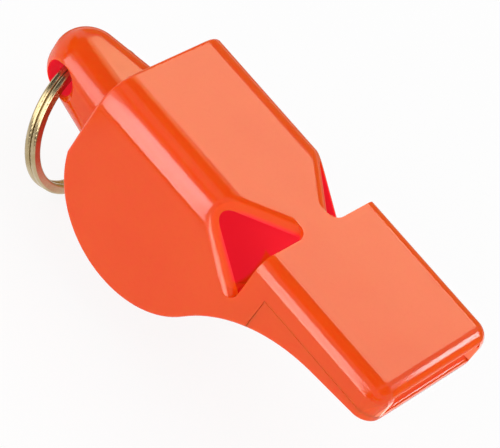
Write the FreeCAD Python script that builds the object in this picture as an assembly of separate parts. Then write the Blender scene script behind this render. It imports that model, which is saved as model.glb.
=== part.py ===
import FreeCAD, Part
import math
import os
from FreeCAD import Vector

# A compact pealess training whistle with a split ring, in millimetres.
# The origin lies on the deck's centre line, above the front edge of the two side windows.
# +X runs to the mouth, +Y to the left of someone who looks along +X, and +Z up, out of the deck.

# Body outline
bodyWidth = 18.1
barrelLength = 23.3
mouthpieceLength = 18.15
wall = 0.9
bellySetback = 10.7
bellyDepth = 8.1
bellyRadius = 11.0
neckRadius = 18.25
tipHeight = 4.4
undersideSlope = 0.103

# Rounded edges of the body
barrelRound = 3.5
mouthpieceRound = 1.65
tipCorner = 2.0
sideEdgeRound = 0.3
rearRimRound = 0.4
innerRound = 1.5

# Seams between the mouldings
jawDepth = 3.5
jawSeam = 2.6
coverSetback = 3.6
weldGap = 0.05
seamGroove = 0.12

# Side windows: one sloping cut takes each upper corner off, in front of the barrel
windowBack = 10.15
windowAcross = 8.25
windowDown = 7.45
windowDepth = 7.2
deckStrip = 4.06
windowRound = 1.4
windowRim = 1.2

# Windways and chambers
windwayHeight = 1.3
partitionThickness = 0.8
insertLength = 10.0
insertNose = 1.6
plugLength = 5.2
mouthSlotWidth = 14.0
lipRound = 0.42
centreWindwayStart = 11.0
centreWindwayHeight = 1.2
lipThickness = 1.08
undersideWindow = 4.2

# Lug at the rear, and the hole through it
lugLength = 11.0
lugRootHalfWidth = 5.17
lugEndRadius = 3.78
lugTopAtRoot = 5.6
lugTopAtEnd = 6.35
lugBottomAtRoot = 13.85
lugBottomAtEnd = 13.5
lugCrown = 3.1
holeSetback = 7.4
holeDepth = 10.5
holeRadius = 2.0
holeFlare = 0.15

# Split ring
ringOuterRadius = 8.5
ringWireWidth = 1.1
ringEdgeRound = 0.25
coilThickness = 0.7
coilGap = 0.06
ringShift = 1.7
ringClearance = 0.1
ringHangAngle = 23.0
ringJogAngle = 28.0
ringJogPlace = 205.0
jogSteps = 7

# Sizes that follow from the ones above
halfWidth = bodyWidth / 2
innerHalfWidth = halfWidth - wall
rearX = -barrelLength
tipX = mouthpieceLength
stripHalf = deckStrip / 2
partitionInner = stripHalf - partitionThickness
beyond = bodyWidth + barrelLength
tolerance = bodyWidth / 1e6
slopeLength = math.hypot(1, undersideSlope)
ringInnerRadius = ringOuterRadius - ringWireWidth
ringHalfThickness = coilThickness + coilGap / 2


def bellyCentre():
    return Vector(rearX + bellySetback, 0, -bellyDepth)


def tipLine(x):
    """Depth of the mouthpiece's straight underside at x."""
    return -tipHeight - undersideSlope * (tipX - x)


def neckCentre():
    """Centre of the arc that is tangent to the belly circle and to the straight underside."""
    belly = bellyCentre()
    reach = bellyRadius + neckRadius
    drop = tipLine(0) - neckRadius * slopeLength - belly.z
    a = 1 + undersideSlope ** 2
    b = undersideSlope * drop - belly.x
    c = belly.x ** 2 + drop ** 2 - reach ** 2
    x = (-b + math.sqrt(b * b - a * c)) / a
    return Vector(x, 0, tipLine(x) - neckRadius * slopeLength)


def roundEdges(solid, radius, isEdge):
    """The solid with those edges rounded whose centre passes the test."""
    return solid.makeFillet(radius, [edge for edge in solid.Edges if isEdge(edge.CenterOfMass)])


def unit(vector):
    return vector * (1 / vector.Length)


def onArc(centre, radius, x, side):
    """Point at x on a circle in the XZ plane, above (+1) or below (-1) its centre."""
    return Vector(x, 0, centre.z + side * math.sqrt(radius ** 2 - (x - centre.x) ** 2))


def arcBetween(centre, radius, start, end):
    """The shorter arc from start to end about the centre."""
    middle = centre + unit(start + end - centre * 2) * radius
    return Part.Arc(start, middle, end).toShape()


def prismY(edges, low, high):
    """Solid between two values of y, from a closed outline in the XZ plane."""
    face = Part.Face(Part.Wire(edges))
    face.translate(Vector(0, low, 0))
    return face.extrude(Vector(0, high - low, 0))


def box(x0, x1, y0, y1, z0, z1):
    return Part.makeBox(x1 - x0, y1 - y0, z1 - z0, Vector(x0, y0, z0))


def line(start, end):
    return Part.makeLine(start, end)


def undersideEdges(inset, startX, endX):
    """Underside from startX to endX, moved into the body by the inset."""
    belly = bellyCentre()
    neck = neckCentre()
    bellyR = bellyRadius - inset
    neckR = neckRadius + inset
    meet = belly + unit(neck - belly) * bellyR
    level = neck + Vector(-undersideSlope, 0, 1) * (neckR / slopeLength)
    start = onArc(belly, bellyR, startX, -1)
    if endX <= meet.x:
        return [arcBetween(belly, bellyR, start, onArc(belly, bellyR, endX, -1))]
    bellyEdge = arcBetween(belly, bellyR, start, meet)
    if endX <= level.x:
        return [bellyEdge, arcBetween(neck, neckR, meet, onArc(neck, neckR, endX, 1))]
    end = Vector(endX, 0, level.z + undersideSlope * (endX - level.x))
    return [bellyEdge, arcBetween(neck, neckR, meet, level), line(level, end)]


def bodyOutline(inset, top, rear, front):
    """Closed side outline of the body, between a rear and a front plane and under a top plane."""
    under = undersideEdges(inset, rear, front)
    start = under[0].valueAt(under[0].FirstParameter)
    end = under[-1].valueAt(under[-1].LastParameter)
    rearTop = Vector(rear, 0, top)
    frontTop = Vector(front, 0, top)
    return [line(rearTop, start)] + under + [line(end, frontTop), line(frontTop, rearTop)]


def roundedBar(half, top, radius, x0, x1):
    """Bar along X whose two upper edges are rounded."""
    bar = box(x0, x1, -half, half, top - beyond, top)
    return roundEdges(bar, radius, lambda c: abs(c.z - top) < tolerance and abs(abs(c.y) - half) < tolerance)


def mouthpieceBlock():
    """The mouthpiece with its two upright corners, its upper rim and its lower rim rounded."""
    block = prismY(bodyOutline(0, 0, rearX, tipX), -halfWidth, halfWidth)
    block = block.common(box(0, beyond, -beyond, beyond, -beyond, beyond))
    block = roundEdges(block, tipCorner, lambda c: abs(c.x - tipX) < tolerance and abs(c.y) > tolerance)
    block = roundEdges(block, mouthpieceRound, lambda c: abs(c.z) < tolerance and c.x > tolerance)
    return roundEdges(block, sideEdgeRound,
                      lambda c: abs(c.x - tipX) < tolerance and c.z < tolerance - tipHeight)


def outerBody():
    """The whole outside shape of the body, without the lug and the windows."""
    block = prismY(bodyOutline(0, 0, rearX, tipX), -halfWidth, halfWidth)
    block = roundEdges(block, sideEdgeRound, lambda c: c.z < -sideEdgeRound and c.x < tipX - sideEdgeRound
                       and abs(abs(c.y) - halfWidth) < tolerance)
    bar = roundedBar(halfWidth, 0, barrelRound, rearX, 0)
    bar = roundEdges(bar, rearRimRound, lambda c: abs(c.x - rearX) < tolerance and c.z > -beyond)
    return block.common(bar).fuse(mouthpieceBlock())


def cavity():
    """Room inside the walls: the chambers and windways, and the places of the other mouldings."""
    inner = prismY(bodyOutline(wall, -wall, rearX + wall, 0), -innerHalfWidth, innerHalfWidth)
    chambers = inner.common(roundedBar(innerHalfWidth, -wall, innerRound, rearX, 0))
    belowCover = box(rearX + coverSetback, 0, -innerHalfWidth, innerHalfWidth, -beyond, -jawDepth)
    windways = roundedBar(innerHalfWidth, -wall, mouthpieceRound - wall, 0, insertLength)
    slot = box(insertLength, beyond, -mouthSlotWidth / 2, mouthSlotWidth / 2, -jawDepth, -wall)
    return chambers.fuse([belowCover, windways, slot])


def jawSpace():
    """Room under the seam, ahead of the seam's upright part, that the lower jaw fills."""
    return box(jawSeam, beyond, -beyond, beyond, -beyond, -jawDepth)


def barrelBlock():
    """The barrel behind the windows' front edge, with its upper edges rounded."""
    block = prismY(bodyOutline(0, 0, rearX, 0), -halfWidth, halfWidth)
    return block.common(roundedBar(halfWidth, 0, barrelRound, rearX, 0))


def slopeCutter(side):
    """Everything outside the sloping plane that takes off one upper corner of the barrel."""
    corner = Vector(0, side * halfWidth, 0)
    back = corner + Vector(-windowBack, 0, 0)
    across = corner + Vector(0, -side * windowAcross, 0)
    down = corner + Vector(0, 0, -windowDown)
    normal = unit((across - back).cross(down - back)) * side
    slope = Part.makeBox(2 * beyond, 2 * beyond, beyond, Vector(-beyond, -beyond, 0))
    slope.Placement = FreeCAD.Placement(back, FreeCAD.Rotation(Vector(0, 0, 1), normal))
    return slope


def slopedBarrel():
    """The barrel with both corners taken off, and the rim of each sloping cut rounded."""
    barrel = barrelBlock().cut([slopeCutter(1), slopeCutter(-1)])
    slopes = [face for face in barrel.Faces if isSlope(face)]
    rims = [edge for face in slopes for edge in face.Edges if edge.CenterOfMass.x < -windowRim / 4]
    return barrel.makeFillet(windowRim, rims)


def isSlope(face):
    """Whether a face is one of the windows' sloping cuts: flat, and level in no direction."""
    if face.Surface.TypeId != "Part::GeomPlane":
        return False
    axis = face.Surface.Axis
    return min(abs(axis.x), abs(axis.y), abs(axis.z)) > 0.1


def sideWindow(side, barrel):
    """Cutter for one window: what the sloping cut takes off, above its foot and outside the deck's strip."""
    plan = box(-beyond, 0, stripHalf, beyond, -beyond, beyond)
    plan = roundEdges(plan, windowRound, lambda c: abs(c.x) < tolerance and abs(c.y - stripHalf) < tolerance)
    reach = box(-beyond, 0, -beyond, beyond, -windowDepth, beyond)
    reach = roundEdges(reach, windowRound,
                       lambda c: abs(c.x) < tolerance and abs(c.z + windowDepth) < tolerance)
    region = plan.common(reach)
    if side < 0:
        region = region.mirror(Vector(0, 0, 0), Vector(0, 1, 0))
    return region.cut(barrel)


def windowedBody():
    """The outside of the body with both windows cut."""
    barrel = slopedBarrel()
    return outerBody().cut([sideWindow(1, barrel), sideWindow(-1, barrel)])


def partitions():
    """The two walls beside the centre chamber, which go on forward as ribs between the windways."""
    overCover = prismY(bodyOutline(wall + weldGap, -wall, rearX + wall, 0), partitionInner, stripHalf)
    foot = prismY(bodyOutline(wall, -wall, rearX + wall, rearX + coverSetback), partitionInner, stripHalf)
    rib = box(0, insertLength - insertNose, partitionInner, stripHalf, -wall - windwayHeight, -wall)
    one = overCover.fuse([foot, rib])
    return [one, one.mirror(Vector(0, 0, 0), Vector(0, 1, 0))]


def lug():
    """Tapered tongue at the rear with a round end and rounded upper and lower edges."""
    end = Vector(rearX - lugLength + lugEndRadius, 0, 0)
    root = Vector(rearX, lugRootHalfWidth, 0)
    away = root - end
    turn = math.atan2(away.y, away.x) + math.acos(lugEndRadius / away.Length)
    touch = end + Vector(math.cos(turn), math.sin(turn), 0) * lugEndRadius
    inside = root + (root - touch) * (wall / (root - touch).x)
    tip = Vector(rearX - lugLength, 0, 0)
    touchFlip = Vector(touch.x, -touch.y, 0)
    insideFlip = Vector(inside.x, -inside.y, 0)
    plan = Part.Face(Part.Wire([line(inside, touch), Part.Arc(touch, tip, touchFlip).toShape(),
                                line(touchFlip, insideFlip), line(insideFlip, inside)]))
    plan.translate(Vector(0, 0, -beyond))
    plan = plan.extrude(Vector(0, 0, 2 * beyond))
    topSlope = (lugTopAtEnd - lugTopAtRoot) / lugLength
    bottomSlope = (lugBottomAtRoot - lugBottomAtEnd) / lugLength
    nearTop = Vector(inside.x, 0, -lugTopAtRoot + topSlope * wall)
    farTop = Vector(rearX - beyond, 0, -lugTopAtRoot - topSlope * beyond)
    farBottom = Vector(rearX - beyond, 0, -lugBottomAtRoot + bottomSlope * beyond)
    nearBottom = Vector(inside.x, 0, -lugBottomAtRoot - bottomSlope * wall)
    side = prismY([line(nearTop, farTop), line(farTop, farBottom), line(farBottom, nearBottom),
                   line(nearBottom, nearTop)], -beyond, beyond)
    tongue = plan.common(side)
    rims = [edge for edge in tongue.Edges if edge.BoundBox.ZLength < edge.BoundBox.XLength
            and edge.BoundBox.XMin < rearX - wall]
    return tongue.makeFillet(lugCrown, rims)


def holeAxisPoint():
    return Vector(rearX - holeSetback, 0, -holeDepth)


def holeCutter():
    """The hole through the lug along Y, with a small flare at each mouth."""
    centre = holeAxisPoint()
    bore = Part.makeCylinder(holeRadius, 2 * beyond, centre - Vector(0, beyond, 0), Vector(0, 1, 0))
    mouth = lugEndRadius - holeFlare
    flares = [Part.makeCone(holeRadius, holeRadius + beyond, beyond, centre + Vector(0, side * mouth, 0),
                            Vector(0, side, 0)) for side in (-1, 1)]
    return bore.fuse(flares)


def seamCutter():
    """Fine groove on both sides of the body, where the lower jaw meets the side walls."""
    half = seamGroove / 2
    upright = box(jawSeam - half, jawSeam + half, -beyond, beyond, -beyond, -jawDepth + half)
    along = box(jawSeam, tipX - tipCorner, -beyond, beyond, -jawDepth - half / 2, -jawDepth + half / 2)
    inside = box(0, tipX, -halfWidth + seamGroove, halfWidth - seamGroove, -2 * beyond, beyond)
    return upright.fuse(along).cut(inside)


def bodyShell():
    """Deck, side walls, rear wall and lug in one moulding, with the walls of the centre chamber."""
    shell = windowedBody().fuse(lug()).cut(cavity()).cut(jawSpace())
    return shell.fuse(partitions()).cut([holeCutter(), seamCutter()]).removeSplitter()


def bellyCover():
    """Curved plate that closes the barrel from below, with the centre chamber's window at its front."""
    under = undersideEdges(0, rearX + coverSetback, 0)
    roof = undersideEdges(wall, rearX + coverSetback, 0)
    rear = line(roof[0].valueAt(roof[0].FirstParameter), under[0].valueAt(under[0].FirstParameter))
    front = line(under[-1].valueAt(under[-1].LastParameter), roof[-1].valueAt(roof[-1].LastParameter))
    plate = prismY(under + [front] + roof[::-1] + [rear], -innerHalfWidth, innerHalfWidth)
    window = box(-undersideWindow, beyond, -partitionInner, partitionInner, -beyond, 0)
    return plate.cut(window)


def centreWindwayArc():
    """Centre and radius of the centre windway's floor, which meets the jaw's top without a step."""
    exitDepth = -onArc(neckCentre(), neckRadius, 0, 1).z - lipThickness
    drop = exitDepth - jawDepth
    radius = (centreWindwayStart ** 2 + drop ** 2) / (2 * drop)
    return Vector(centreWindwayStart, 0, -jawDepth - radius), radius


def mouthpieceFloor():
    """Lower jaw of the mouthpiece, with a tongue that plugs the barrel between the side walls."""
    block = outerBody().common(box(0, beyond, -halfWidth, halfWidth, -beyond, -jawDepth))
    cheeks = [box(0, jawSeam, innerHalfWidth, beyond, -beyond, 0),
              box(0, jawSeam, -beyond, -innerHalfWidth, -beyond, 0)]
    centre, radius = centreWindwayArc()
    start = onArc(centre, radius, 0, 1)
    top = Vector(centreWindwayStart, 0, -jawDepth)
    corner = Vector(0, 0, -jawDepth)
    groove = prismY([arcBetween(centre, radius, start, top), line(top, corner), line(corner, start)],
                    -partitionInner, partitionInner)
    return block.cut(cheeks + [groove, lipCutter(), seamCutter()])


def lipCutter():
    """What the rounded upper edge of the lower lip leaves free, across the mouth slot."""
    centre = Vector(tipX - lipRound, 0, -jawDepth - lipRound)
    start = centre + Vector(0, 0, lipRound)
    end = centre + Vector(lipRound, 0, 0)
    corner = Vector(tipX, 0, -jawDepth)
    return prismY([arcBetween(centre, lipRound, start, end), line(end, corner), line(corner, start)],
                  -mouthSlotWidth / 2, mouthSlotWidth / 2)


def windwayInsert():
    """Divider over the jaw: its plate splits the breath, and its plug roofs the centre windway."""
    plateTop = -wall - windwayHeight
    plateBottom = -jawDepth
    nose = insertLength - insertNose
    rearTop = Vector(0, 0, plateTop)
    rearBottom = Vector(0, 0, plateBottom)
    noseTop = Vector(nose, 0, plateTop)
    edge = Vector(insertLength, 0, plateBottom)
    sides = [line(rearTop, noseTop), line(noseTop, edge), line(edge, rearBottom), line(rearBottom, rearTop)]
    plate = prismY(sides, -innerHalfWidth, innerHalfWidth)
    centre, radius = centreWindwayArc()
    roof = radius + centreWindwayHeight
    low = onArc(centre, roof, 0, 1)
    high = onArc(centre, roof, plugLength, 1)
    plugTop = Vector(plugLength, 0, -wall)
    plugRear = Vector(0, 0, -wall)
    plugHalf = partitionInner
    plug = prismY([arcBetween(centre, roof, low, high), line(high, plugTop), line(plugTop, plugRear),
                   line(plugRear, low)], -plugHalf, plugHalf)
    notch = box(plugLength, beyond, -partitionInner, partitionInner, -beyond, 0)
    return plate.cut(notch).fuse(plug).removeSplitter()


def ringCentreDistance():
    """From the hole's axis to the ring's centre: the inside of the wire rides on the hole's mouths."""
    reach = math.sqrt(ringInnerRadius ** 2 - (lugEndRadius + ringShift) ** 2)
    return reach + math.sqrt(holeRadius ** 2 - ringHalfThickness ** 2) - ringClearance


def wireSection(angle, rise):
    """Closed section of the flat wire at an angle round the ring, its middle at a height on the axis."""
    half = coilThickness / 2 - ringEdgeRound
    inner = ringInnerRadius + ringEdgeRound
    outer = ringOuterRadius - ringEdgeRound
    corners = [Vector(inner, 0, rise - half), Vector(outer, 0, rise - half),
               Vector(outer, 0, rise + half), Vector(inner, 0, rise + half)]
    core = Part.Face(Part.makePolygon(corners + [corners[0]]))
    wire = core.makeOffset2D(ringEdgeRound).OuterWire
    wire.rotate(Vector(0, 0, 0), Vector(0, 0, 1), angle)
    return wire


def splitRing():
    """Flat wire coiled twice, with one short jog from the first coil over to the second."""
    rise = (coilThickness + coilGap) / 2
    turn = 360 - ringJogAngle
    coils = [Part.Face(wireSection(ringJogPlace, height)).revolve(Vector(0, 0, 0), Vector(0, 0, 1), turn)
             for height in (-rise, rise)]
    sections = []
    for step in range(jogSteps + 1):
        share = step / jogSteps
        height = rise * (2 * share * share * (3 - 2 * share) - 1)
        sections.append(wireSection(ringJogPlace + turn + ringJogAngle * share, height))
    jog = Part.makeLoft(sections, True, True)
    ring = coils[0].fuse([coils[1], jog])
    ring.rotate(Vector(0, 0, 0), Vector(0, 1, 0), 90)
    ring.translate(Vector(0, ringShift, -ringCentreDistance()))
    ring.rotate(Vector(0, 0, 0), Vector(0, 1, 0), -ringHangAngle)
    ring.translate(holeAxisPoint())
    return ring


nodes = {
    "body_shell": bodyShell,
    "belly_cover": bellyCover,
    "windway_insert": windwayInsert,
    "mouthpiece_floor": mouthpieceFloor,
    "split_ring": splitRing,
}

os.makedirs("parts", exist_ok=True)
for node, make in nodes.items():
    solid = make()
    solid.exportStep("parts/" + node + ".step")
    print(node, solid.isValid(), len(solid.Solids), round(solid.Volume, 2), solid.optimalBoundingBox())
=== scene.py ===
import bpy
import bmesh
import math
from mathutils import Matrix, Vector


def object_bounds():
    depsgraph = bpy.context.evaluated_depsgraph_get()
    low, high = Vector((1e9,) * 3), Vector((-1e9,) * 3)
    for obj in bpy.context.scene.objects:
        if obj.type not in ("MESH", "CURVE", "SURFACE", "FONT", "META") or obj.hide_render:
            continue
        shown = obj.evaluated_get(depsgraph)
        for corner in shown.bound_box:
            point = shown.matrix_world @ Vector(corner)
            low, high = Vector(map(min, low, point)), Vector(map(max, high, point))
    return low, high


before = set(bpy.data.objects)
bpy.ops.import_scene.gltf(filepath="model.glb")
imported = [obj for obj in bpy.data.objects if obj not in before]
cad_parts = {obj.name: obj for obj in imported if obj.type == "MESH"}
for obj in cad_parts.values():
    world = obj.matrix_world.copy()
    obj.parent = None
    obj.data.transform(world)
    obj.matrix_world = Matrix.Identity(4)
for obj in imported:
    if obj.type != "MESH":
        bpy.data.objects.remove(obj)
cadBox = [list(corner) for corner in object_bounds()]
print("frame loaded:", ", ".join(sorted(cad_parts)))

millimetre = 0.001
perMetre = 1.0 / millimetre      # turns coordinates in metres into millimetres


class Wire:
    # one output socket of a node tree, so that sums on it read as Python
    def __init__(self, tree, socket):
        self.tree = tree
        self.socket = socket

    def node(self, kind, sockets=None, settings=None, output=0):
        made = self.tree.nodes.new(kind)
        for name, value in (settings or {}).items():
            setattr(made, name, value)
        for name, value in (sockets or {}).items():
            if isinstance(value, Wire):
                self.tree.links.new(value.socket, made.inputs[name])
            else:
                made.inputs[name].default_value = value
        return Wire(self.tree, made.outputs[output])

    def maths(self, operation, first, second=0.0):
        return self.node("ShaderNodeMath", {0: first, 1: second}, {"operation": operation})

    def __add__(self, other):
        return self.maths("ADD", self, other)

    def __sub__(self, other):
        return self.maths("SUBTRACT", self, other)

    def __rsub__(self, other):
        return self.maths("SUBTRACT", other, self)

    def __mul__(self, other):
        return self.maths("MULTIPLY", self, other)

    def atLeast(self, other):
        return self.maths("MAXIMUM", self, other)

    def atMost(self, other):
        return self.maths("MINIMUM", self, other)

    def over(self, limit):
        # 1 above the limit, 0 up to it
        return self.maths("GREATER_THAN", self, limit)

    def absolute(self):
        return self.maths("ABSOLUTE", self)

    def away(self, other):
        # how far the point (self, other) lies from the origin
        square = self * self + other * other
        return square.maths("SQRT", square)

    def axes(self):
        return [self.node("ShaderNodeSeparateXYZ", {"Vector": self}, output=axis) for axis in "XYZ"]

    def ramp(self, low, high):
        # 0 below low, 1 above high, smooth in between
        sockets = {"Value": self, "From Min": low, "From Max": high}
        return self.node("ShaderNodeMapRange", sockets, {"interpolation_type": "SMOOTHSTEP"})

    def blend(self, first, second):
        # the colour first where this is 0, second where it is 1; sockets 6 and 7 are the colour ones
        return self.node("ShaderNodeMix", {0: self, 6: first, 7: second}, {"data_type": "RGBA"}, output=2)

    def toOutput(self, kind="ShaderNodeOutputMaterial"):
        self.tree.links.new(self.socket, self.tree.nodes.new(kind).inputs["Surface"])


def emptyTree(owner):
    # clears the owner's nodes and gives the object coordinates as a first wire
    owner.use_nodes = True
    owner.node_tree.nodes.clear()
    coordinates = owner.node_tree.nodes.new("ShaderNodeTexCoord")
    return Wire(owner.node_tree, coordinates.outputs["Object"])


def newMaterial(name):
    made = bpy.data.materials.new(name)
    return made, emptyTree(made)


def noise(place, layer):
    if "stretch" in layer:
        place = place.node("ShaderNodeMapping", {"Vector": place, "Scale": layer["stretch"]})
    sockets = {"Vector": place, "Scale": layer["scale"], "Detail": layer["detail"]}
    return place.node("ShaderNodeTexNoise", sockets)


def patches(place, layer):
    # the high spots of a noise, as a share of the whole effect
    return noise(place, layer).ramp(layer["low"], layer["high"]) * layer["share"]


def bumpyShader(height, bump, sockets):
    bumpSockets = {"Height": height, "Strength": bump["strength"], "Distance": bump["depth"]}
    normal = height.node("ShaderNodeBump", bumpSockets)
    height.node("ShaderNodeBsdfPrincipled", dict(sockets, Normal=normal)).toOutput()


plasticLook = {
    "colour": (0.80, 0.083, 0.004, 1.0),
    "deepColour": (0.78, 0.070, 0.003, 1.0),     # in the mottled places
    "flow": {"scale": 90.0, "detail": 3.0, "low": 0.35, "high": 0.75, "share": 0.7},
    "speck": {"scale": 2600.0, "detail": 2.0, "low": 0.45, "high": 0.80, "share": 0.3},
    "roughness": 0.13,
    "hazeRoughness": 0.20,
    "haze": {"scale": 210.0, "detail": 5.0, "low": 0.52, "high": 0.78, "share": 0.8},
    "scratches": {"stretch": (300.0, 2600.0, 2600.0), "scale": 1.0, "detail": 1.0,
                  "low": 0.66, "high": 0.76, "share": 0.5},
    "peel": {"scale": 900.0, "detail": 2.0, "strength": 0.35, "depth": 0.000004},
    "ior": 1.37,
    "softness": 1.0,                             # share of the light that wanders under the skin
    "softRadius": (0.0008, 0.0002, 0.0001),
    # painted shade and glow deep inside the moulding: a darker crimson base colour and a red emission on
    # the cavity faces
    "inside": {"start": 0.5, "full": 0.95,       # millimetres under the outer skin
               "colour": (0.58, 0.013, 0.019, 1.0),
               "paintedGlow": (0.365, 0.008, 0.018, 1.0)},      # painted glow: a red emission standing in for light that comes through the thin walls
    "lip": {"start": 0.9, "full": 1.1,
            "paintedGlow": (0.45, 0.17, 0.100, 1.0)},           # painted glow: an emission standing in for the same light, just behind the mouth's lips
    "seam": {"start": 0.08, "full": 0.16,
             "paintedGlow": (0.06, 0.010, 0.001, 1.0)},         # painted glow: a faint orange emission that keeps the narrow seams from going black
    # no emission on the rest of the outer skin; the painted seam and lip glows are laid over it
    "paintedOuterGlow": (0.0, 0.0, 0.0, 1.0),
}

# the moulding's outer skin, in millimetres, for finding what lies inside it, where the painted shade and
# glow go
skin = {
    "halfWidth": 9.05, "edgeRound": 3.5,
    "rearX": -22.2,                              # just inside the rear wall, so wall and lug stay orange
    "mouthX": 18.15, "mouthSlope": 0.4,          # how fast it gets deep behind the mouth
    "tipDepth": 4.4, "underSlope": 0.103,        # the mouthpiece's underside
    "bellyX": -12.6, "bellyZ": -8.1, "bellyRadius": 11.0,
    "holeX": -30.7, "holeZ": -10.5, "holeHalfLength": 3.7,
    "holeRadius": 2.25,                          # a little wider than the hole, to take in its flare
}


def depthUnderSkin(place, shape):
    # how many millimetres a point lies inside the moulding, and the same as if the mouth were open, for
    # placing the painted shade and glow
    x, y, z = (axis * perMetre for axis in place.axes())
    acrossEdge = (y.absolute() - (shape["halfWidth"] - shape["edgeRound"])).atLeast(0.0)
    aboveEdge = (z + shape["edgeRound"]).atLeast(0.0)
    cornerDepth = shape["edgeRound"] - acrossEdge.away(aboveEdge)
    flatDepth = (shape["halfWidth"] - y.absolute()).atMost(0.0 - z)
    inCorner = (acrossEdge * aboveEdge).over(0.0)
    topDepth = inCorner * cornerDepth + (1.0 - inCorner) * flatDepth
    bellyDepth = shape["bellyRadius"] - (x - shape["bellyX"]).away(z - shape["bellyZ"])
    jawDepth = z + shape["tipDepth"] + (shape["mouthX"] - x) * shape["underSlope"]
    wallDepth = topDepth.atMost(bellyDepth.atLeast(jawDepth))
    rearDepth = x - shape["rearX"]
    endDepth = rearDepth.atMost((shape["mouthX"] - x) * shape["mouthSlope"])
    inHole = (shape["holeRadius"] - (x - shape["holeX"]).away(z - shape["holeZ"])).over(0.0)
    holeDepth = (shape["holeHalfLength"] - y.absolute()) * inHole
    return wallDepth.atMost(endDepth).atLeast(holeDepth), wallDepth.atMost(rearDepth)


def mouldedPlastic(name, look):
    made, place = newMaterial(name)
    mottled = patches(place, look["flow"]) + patches(place, look["speck"])
    worn = patches(place, look["haze"]) + patches(place, look["scratches"])
    depth, openDepth = depthUnderSkin(place, skin)
    # masks for the painted shade and glow inside, the painted glow behind the lips and the painted glow in
    # the seams
    inside = depth.ramp(look["inside"]["start"], look["inside"]["full"])
    lipPaintedGlowMask = openDepth.ramp(look["lip"]["start"], look["lip"]["full"])
    seamPaintedGlowMask = depth.ramp(look["seam"]["start"], look["seam"]["full"])
    outerColour = mottled.blend(look["colour"], look["deepColour"])
    # painted glow on the outer faces: in the seams and just behind the mouth's lips
    paintedOuterGlow = lipPaintedGlowMask.blend(seamPaintedGlowMask.blend(look["paintedOuterGlow"], look["seam"]["paintedGlow"]), look["lip"]["paintedGlow"])
    # base colour: the painted darker crimson inside; emission colour: the painted glows inside, behind the
    # lips and in the seams
    bumpyShader(noise(place, look["peel"]), look["peel"], {
        "Base Color": inside.blend(outerColour, look["inside"]["colour"]),
        "Roughness": worn * (look["hazeRoughness"] - look["roughness"]) + look["roughness"],
        "IOR": look["ior"],
        "Subsurface Weight": look["softness"],
        "Subsurface Radius": look["softRadius"],
        "Subsurface Scale": 1.0,
        "Emission Color": inside.blend(paintedOuterGlow, look["inside"]["paintedGlow"]),
        "Emission Strength": 1.0,
    })
    return made


ringLook = {
    "colour": (0.56, 0.46, 0.29, 1.0),
    "wornColour": (0.44, 0.34, 0.18, 1.0),
    "worn": {"scale": 260.0, "detail": 4.0, "low": 0.40, "high": 0.70, "share": 1.0},
    "roughness": 0.23,
    "drawnRoughness": 0.28,
    "drawn": {"scale": 900.0, "detail": 4.0, "low": 0.40, "high": 0.75, "share": 1.0,
              "strength": 0.01, "depth": 0.0000003},
}


def platedWire(name, look):
    made, place = newMaterial(name)
    drawn = patches(place, look["drawn"])
    bumpyShader(noise(place, look["drawn"]), look["drawn"], {
        "Base Color": patches(place, look["worn"]).blend(look["colour"], look["wornColour"]),
        "Roughness": drawn * (look["drawnRoughness"] - look["roughness"]) + look["roughness"],
        "Metallic": 1.0,
    })
    return made


orangePlastic = mouldedPlastic("orangePlastic", plasticLook)
ringPlate = platedWire("ringPlate", ringLook)
finishes = {
    "body_shell": orangePlastic, "belly_cover": orangePlastic, "windway_insert": orangePlastic,
    "mouthpiece_floor": orangePlastic, "split_ring": ringPlate,
}
for nodeName, finish in finishes.items():
    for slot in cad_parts[nodeName].material_slots:
        slot.material = finish
print("finishes given to", len(finishes), "nodes")


stageLook = {
    "floorSize": 3.0,                            # metres
    "floorColour": (0.90, 0.90, 0.90, 1.0),
    "floorWhite": 0.88,                          # share of plain white that the camera sees on the floor
    "white": (1.0, 1.0, 1.0, 1.0),
    "worldLevel": 0.80,                          # the world's light; the camera sees it as plain white
}


def seenByCamera(start):
    # 1 for what the camera sees, directly or in gloss or through glass
    rays = ("Is Camera Ray", "Is Glossy Ray", "Is Transmission Ray")
    direct, inGloss, throughGlass = (start.node("ShaderNodeLightPath", output=ray) for ray in rays)
    return direct.atLeast(inGloss).atLeast(throughGlass)


def flatSquare(name, side, height):
    # a level square about the origin
    mesh = bpy.data.meshes.new(name)
    shape = bmesh.new()
    bmesh.ops.create_grid(shape, x_segments=1, y_segments=1, size=side / 2)
    bmesh.ops.translate(shape, verts=shape.verts, vec=(0.0, 0.0, height))
    shape.to_mesh(mesh)
    shape.free()
    square = bpy.data.objects.new(name, mesh)
    bpy.context.scene.collection.objects.link(square)
    return square


def plainFloor(look):
    floor = flatSquare("studioFloor", look["floorSize"], min(corner[2] for corner in cadBox))
    made, place = newMaterial("paleFloor")
    matt = place.node("ShaderNodeBsdfDiffuse", {"Color": look["floorColour"]})
    white = place.node("ShaderNodeEmission", {"Color": look["white"]})
    seen = seenByCamera(place) * look["floorWhite"]
    place.node("ShaderNodeMixShader", {0: seen, 1: matt, 2: white}).toOutput()
    floor.data.materials.append(made)


def studioWorld(look):
    world = bpy.data.worlds.new("studioWorld")
    start = emptyTree(world)
    level = seenByCamera(start) * (1.0 - look["worldLevel"]) + look["worldLevel"]
    back = start.node("ShaderNodeBackground", {"Color": look["white"], "Strength": level})
    back.toOutput("ShaderNodeOutputWorld")
    bpy.context.scene.world = world


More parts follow.
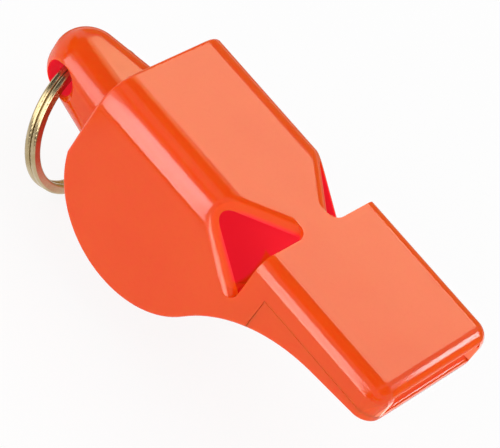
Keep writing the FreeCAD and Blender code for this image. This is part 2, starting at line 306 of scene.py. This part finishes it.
# lamps, in millimetres: where each hangs, what it points at, its width and height, and its brightness
# against plain white. One with parts only shows in their polished surfaces, the others light the body.
panels = {
    "barrelStrip": {"place": (-31.0, -64.0, 11.3), "aim": (-31.0, 0.0, 11.3), "size": (20.0, 69.5),
                    "level": 9.8, "parts": "moulded", "tint": (0.90, 1.0, 1.0)},
    "mouthpieceStrip": {"place": (1.0, -40.0, -6.2), "aim": (1.0, 0.0, -6.2), "size": (18.5, 36.0),
                        "level": 9.0, "parts": "moulded", "tint": (1.0, 0.97, 0.86)},
    "lugStrip": {"place": (-70.0, -64.0, 11.3), "aim": (-70.0, 0.0, 11.3), "size": (28.0, 69.5),
                 "level": 6.5, "parts": "moulded"},
    "deckPanel": {"place": (-230.0, 633.0, 596.0), "aim": (0.0, 0.0, 0.0), "size": (320.0, 150.0),
                  "level": 4.5, "parts": "moulded", "tint": (1.0, 0.93, 0.58)},
    "lugPanel": {"place": (-251.0, 288.0, 395.0), "aim": (0.0, 0.0, 0.0), "size": (180.0, 190.0),
                 "level": 2.6, "parts": "moulded", "tint": (1.0, 0.93, 0.35)},
    "rimPanel": {"place": (37.0, 38.0, 26.6), "aim": (17.0, 1.7, -1.4), "size": (17.0, 10.4),
                 "turn": 45.0, "level": 14.0, "parts": "moulded"},
    "lipPanel": {"place": (62.0, 45.0, -24.2), "aim": (62.0, 45.0, 0.0), "size": (70.0, 70.0),
                 "level": 2.5, "parts": "moulded"},
    "ringPanel": {"place": (197.0, -405.0, 248.0), "aim": (-28.0, -6.0, -13.0), "size": (560.0, 330.0),
                  "level": 3.4, "parts": "plated"},
    "ringLowPanel": {"place": (-62.0, -56.0, -7.5), "aim": (-27.0, -6.0, -7.5), "size": (44.0, 33.0),
                     "level": 3.0, "parts": "plated"},
    "sideFill": {"place": (-147.0, -833.0, 308.0), "aim": (0.0, 0.0, 0.0), "size": (800.0, 800.0),
                 "level": 1.3},
    "topFill": {"place": (357.0, 130.0, 816.0), "aim": (0.0, 0.0, 0.0), "size": (800.0, 800.0),
                "level": 0.6},
}
# painted reflections: emissive cards, in millimetres, that only show in the polished surfaces; fade is the
# soft edge's share of the side, and a one-way card only shows on the side that it is aimed at
hardEdge = 0.02
cards = {
    # painted dark reflection overhead
    "overheadCard": {"place": (0.0, -25.0, 500.0), "aim": (0.0, -25.0, 0.0), "size": (1500.0, 750.0),
                     "colour": (0.12, 0.12, 0.12, 1.0)},
    # painted dark reflections low on the horizon and on the floor in front
    "lowCard": {"place": (60.0, -150.0, -4.0), "aim": (60.0, 0.0, -4.0), "size": (700.0, 40.0),
                "colour": (0.05, 0.04, 0.03, 1.0)},
    "floorCard": {"place": (0.0, -98.0, -24.4), "aim": (0.0, -98.0, 0.0), "size": (105.0, 105.0),
                  "colour": (0.06, 0.05, 0.04, 1.0)},
    # painted reflection behind: a darker, orange-tinted sheet in place of the white backdrop
    "backCard": {"place": (0.0, 250.0, 75.0), "aim": (0.0, 0.0, 75.0), "size": (700.0, 200.0),
                 "colour": (0.62, 0.42, 0.16, 1.0)},
    # painted dark reflection up to the left
    "sideCard": {"place": (-230.0, -75.0, 110.0), "aim": (0.0, -75.0, 110.0), "size": (260.0, 130.0),
                 "colour": (0.05, 0.04, 0.03, 1.0)},
    # painted dark reflection on the floor beside the ring
    "ringCard": {"place": (-39.0, -33.0, -24.4), "aim": (-39.0, -33.0, 0.0), "size": (20.0, 14.0),
                 "colour": (0.06, 0.05, 0.04, 1.0), "fade": 0.2},
    # painted shadow: a brownish-orange reflection of the shaded, reddened floor behind and under the
    # whistle
    "shadowCard": {"place": (-10.0, 76.0, -24.4), "aim": (-10.0, 76.0, 0.0), "size": (160.0, 160.0),
                   "colour": (0.50, 0.22, 0.13, 1.0), "fade": 0.15},
    # painted glow: a red reflection of the floor lit red under the whistle
    "glowCard": {"place": (-3.0, 18.0, -24.3), "aim": (-3.0, 18.0, 0.0), "size": (44.0, 44.0),
                 "colour": (1.0, 0.06, 0.05, 1.0), "fade": 0.35},
    # white and grey cards that paint a plain reflection over a lamp's highlight, hiding it
    "windowCard": {"place": (-7.1, -20.0, 0.0), "aim": (-7.1, 0.0, 0.0), "size": (6.2, 48.0),
                   "colour": (1.0, 1.0, 1.0, 1.0)},
    "edgeCard": {"place": (-2.0, -7.9, 29.1), "aim": (-2.0, 0.0, 29.1), "size": (60.0, 60.0),
                 "colour": (0.85, 0.85, 0.85, 1.0), "oneWay": True},
    "notchCard": {"place": (-5.5, -7.9, -3.6), "aim": (-5.5, 0.0, -3.6), "size": (10.0, 5.4),
                  "colour": (0.85, 0.85, 0.85, 1.0), "oneWay": True},
    "rimCard": {"place": (16.8, 12.0, 15.05), "aim": (0.0, 12.0, 15.05), "size": (50.0, 30.0),
                "colour": (0.85, 0.85, 0.85, 1.0), "oneWay": True},
}


def standing(look):
    # the matrix that hangs a thing in its place with its own z axis away from its aim
    place, aim = Vector(look["place"]) * millimetre, Vector(look["aim"]) * millimetre
    facing = (place - aim).to_track_quat("Z", "Y").to_matrix().to_4x4()
    return Matrix.Translation(place) @ facing @ Matrix.Rotation(math.radians(look.get("turn", 0.0)), 4, "Z")


def softPanel(name, look, receivers):
    lamp = bpy.data.lights.new(name, "AREA")
    lamp.shape = "RECTANGLE"
    lamp.size, lamp.size_y = (side * millimetre for side in look["size"])
    lamp.energy = look["level"] * math.pi * lamp.size * lamp.size_y
    lamp.color = look.get("tint", (1.0, 1.0, 1.0))
    panel = bpy.data.objects.new(name, lamp)
    panel.matrix_world = standing(look)
    panel.visible_camera = False
    panel.visible_diffuse = "parts" not in look
    panel.visible_glossy = "parts" in look
    if "parts" in look:
        panel.light_linking.receiver_collection = receivers[look["parts"]]
    bpy.context.scene.collection.objects.link(panel)


# a painted reflection: an emissive card that only shows in polished surfaces
def paintedReflectionCard(name, look):
    card = flatSquare(name, 1.0, 0.0)
    wide, high = (side * millimetre for side in look["size"])
    card.matrix_world = standing(look) @ Matrix.Diagonal((wide, high, 1.0, 1.0))
    card.visible_camera = card.visible_diffuse = card.visible_shadow = False
    card.visible_transmission = card.visible_volume_scatter = False
    made, place = newMaterial(name)
    across, along, _ = place.axes()
    half = 0.5                   # of the unit square, before it is stretched
    fromEdge = (half - across.absolute()).atMost(half - along.absolute())
    shown = fromEdge.ramp(0.0, look.get("fade", hardEdge))
    if "oneWay" in look:
        shown = shown * place.node("ShaderNodeNewGeometry", output="Backfacing")
    plain = place.node("ShaderNodeEmission", {"Color": look["colour"]})
    clear = place.node("ShaderNodeBsdfTransparent")
    place.node("ShaderNodeMixShader", {0: shown, 1: clear, 2: plain}).toOutput()
    card.data.materials.append(made)


def receiverGroups():
    # the collections that the panels' light is linked to
    groups = {kind: bpy.data.collections.new(kind) for kind in ("moulded", "plated")}
    for nodeName, finish in finishes.items():
        kind = "plated" if finish == ringPlate else "moulded"
        groups[kind].objects.link(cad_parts[nodeName])
    return groups


plainFloor(stageLook)
studioWorld(stageLook)
groups = receiverGroups()
for panelName, panelLook in panels.items():
    softPanel(panelName, panelLook, groups)
for cardName, cardLook in cards.items():
    paintedReflectionCard(cardName, cardLook)
print("stage set with", len(panels), "panels and", len(cards), "cards")


cameraLook = {
    "place": (58.62, -199.88, 189.12),           # millimetres
    "aim": (-6.088, -0.317, -6.704),
    "turn": 36.486,                              # degrees
    "lens": 207.59,
    "sensor": 36.0,
    "nearest": 0.01,                             # metres
}


def studioCamera(look):
    camera = bpy.data.objects.new("studioCamera", bpy.data.cameras.new("studioCamera"))
    camera.data.lens = look["lens"]
    camera.data.sensor_width = look["sensor"]
    camera.data.clip_start = look["nearest"]
    camera.matrix_world = standing(look)
    bpy.context.scene.collection.objects.link(camera)
    bpy.context.scene.camera = camera


studioCamera(cameraLook)
bpy.context.scene.view_settings.view_transform = "Standard"
print("camera set")
